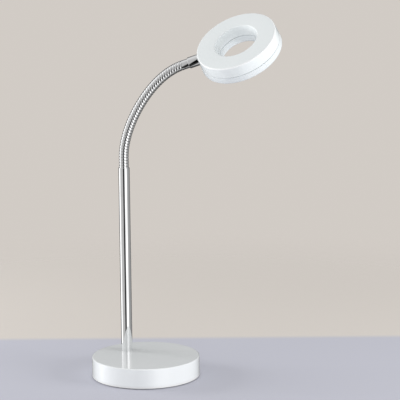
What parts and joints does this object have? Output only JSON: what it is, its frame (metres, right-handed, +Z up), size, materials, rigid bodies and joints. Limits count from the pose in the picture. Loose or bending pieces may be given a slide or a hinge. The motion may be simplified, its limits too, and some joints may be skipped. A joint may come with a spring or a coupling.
{
  "type": "gooseneck desk lamp",
  "caption": "Gooseneck desk lamp: weighted round white foot, slim chrome tube, ribbed flexible neck and a flat ring-shaped LED head with a frosted lower band.",
  "frame": {"origin": "centre of the foot's resting face", "axes": "+Z up along the tube, +X from the tube through the foot's middle"},
  "size_m": [0.1899, 0.1847, 0.4169],
  "materials": {
    "white_enamel": "gloss",
    "white_plastic": "gloss",
    "frosted_plastic": "satin",
    "chrome_tube": "polished",
    "chrome_neck": "polished",
    "zinc_steel": "satin",
    "cast_iron": "matte",
    "pad_foam": "matte",
    "black_plastic": "satin",
    "white_rocker": "gloss",
    "grey_gland": "matte",
    "circuit_board": "satin",
    "components": "satin",
    "terminal_green": "satin",
    "lead_sleeving": "satin",
    "aluminium": "satin",
    "led_board_white": "satin",
    "led_phosphor": "satin"
  },
  "bodies": {
    "stand": {"base_plate": "zinc_steel", "base_plate_screws": "zinc_steel", "base_shell": "white_enamel", "base_weight": "cast_iron", "cord_gland": "grey_gland", "driver_board": "circuit_board", "driver_components": "components", "driver_screws": "zinc_steel", "driver_transformer": "components", "foot_pad": "pad_foam", "gland_nut": "grey_gland", "inlet_leads": "lead_sleeving", "neck_lower_bush": "zinc_steel", "neck_root_section": "chrome_neck", "pole_foot_bush": "zinc_steel", "pole_lead": "lead_sleeving", "pole_lock_washer": "zinc_steel", "pole_nipple": "zinc_steel", "pole_nut": "zinc_steel", "pole_tube": "chrome_tube", "switch_body": "black_plastic", "terminal_block": "terminal_green"},
    "rocker": {"switch_rocker": "white_rocker"},
    "neck_01": {"neck_section_01": "chrome_neck", "neck_lead_01": "lead_sleeving"},
    "neck_02": {"neck_section_02": "chrome_neck", "neck_lead_02": "lead_sleeving"},
    "neck_03": {"neck_section_03": "chrome_neck", "neck_lead_03": "lead_sleeving"},
    "neck_04": {"neck_section_04": "chrome_neck", "neck_lead_04": "lead_sleeving"},
    "neck_05": {"neck_section_05": "chrome_neck", "neck_lead_05": "lead_sleeving"},
    "neck_06": {"neck_section_06": "chrome_neck", "neck_lead_06": "lead_sleeving"},
    "neck_07": {"neck_section_07": "chrome_neck", "neck_lead_07": "lead_sleeving"},
    "neck_08": {"neck_section_08": "chrome_neck", "neck_lead_08": "lead_sleeving"},
    "neck_09": {"neck_section_09": "chrome_neck", "neck_lead_09": "lead_sleeving"},
    "neck_10": {"neck_section_10": "chrome_neck", "neck_lead_10": "lead_sleeving"},
    "neck_11": {"neck_section_11": "chrome_neck", "neck_lead_11": "lead_sleeving"},
    "head": {"neck_top_section": "chrome_neck", "neck_top_ferrule": "chrome_neck", "head_sleeve": "chrome_tube", "head_stud": "zinc_steel", "head_spacer": "zinc_steel", "head_nut": "zinc_steel", "head_shell": "white_plastic", "heat_spreader": "aluminium", "led_board": "led_board_white", "led_chips": "led_phosphor", "head_screws": "zinc_steel", "diffuser": "frosted_plastic", "head_leads": "lead_sleeving"}
  },
  "joints": [
    {"name": "neck_bend_01", "type": "hinge", "parent": "stand", "child": "neck_01", "pos_m": [-0.033, 0, 0.24688], "axis": [-0.5721, 0.8202, 0], "range_deg": [-14, 14]},
    {"name": "neck_sway_01", "type": "hinge", "parent": "neck_01", "child": "neck_02", "pos_m": [-0.03277, 0.00016, 0.25903], "axis": [-0.8172, -0.5701, 0.085], "range_deg": [-12, 12]},
    {"name": "neck_bend_02", "type": "hinge", "parent": "neck_02", "child": "neck_03", "pos_m": [-0.03124, 0.00123, 0.27103], "axis": [-0.5721, 0.8202, 0], "range_deg": [-14, 14]},
    {"name": "neck_sway_02", "type": "hinge", "parent": "neck_03", "child": "neck_04", "pos_m": [-0.02854, 0.00311, 0.28273], "axis": [-0.7771, -0.5421, 0.3196], "range_deg": [-12, 12]},
    {"name": "neck_bend_03", "type": "hinge", "parent": "neck_04", "child": "neck_05", "pos_m": [-0.02493, 0.00563, 0.29406], "axis": [-0.5721, 0.8202, 0], "range_deg": [-14, 14]},
    {"name": "neck_sway_03", "type": "hinge", "parent": "neck_05", "child": "neck_06", "pos_m": [-0.02057, 0.00867, 0.30499], "axis": [-0.7233, -0.5046, 0.4715], "range_deg": [-12, 12]},
    {"name": "neck_bend_04", "type": "hinge", "parent": "neck_06", "child": "neck_07", "pos_m": [-0.01555, 0.01218, 0.31549], "axis": [-0.5721, 0.8202, 0], "range_deg": [-14, 14]},
    {"name": "neck_sway_04", "type": "hinge", "parent": "neck_07", "child": "neck_08", "pos_m": [-0.00989, 0.01612, 0.32551], "axis": [-0.6566, -0.4581, 0.5992], "range_deg": [-12, 12]},
    {"name": "neck_bend_05", "type": "hinge", "parent": "neck_08", "child": "neck_09", "pos_m": [-0.00358, 0.02052, 0.33491], "axis": [-0.5721, 0.8202, 0], "range_deg": [-14, 14]},
    {"name": "neck_sway_05", "type": "hinge", "parent": "neck_09", "child": "neck_10", "pos_m": [0.00346, 0.02543, 0.34352], "axis": [-0.5473, -0.3818, 0.7448], "range_deg": [-12, 12]},
    {"name": "neck_bend_06", "type": "hinge", "parent": "neck_10", "child": "neck_11", "pos_m": [0.01129, 0.0309, 0.35102], "axis": [-0.5721, 0.8202, 0], "range_deg": [-14, 14]},
    {"name": "neck_sway_06", "type": "hinge", "parent": "neck_11", "child": "head", "pos_m": [0.01997, 0.03695, 0.35699], "axis": [-0.3391, -0.2365, 0.9105], "range_deg": [-12, 12]},
    {"name": "switch_rock", "type": "hinge", "parent": "stand", "child": "rocker", "pos_m": [-0.05012, 0.03132, 0.0125], "axis": [0, 0, -1], "range_deg": [0, 14]}
  ]
}
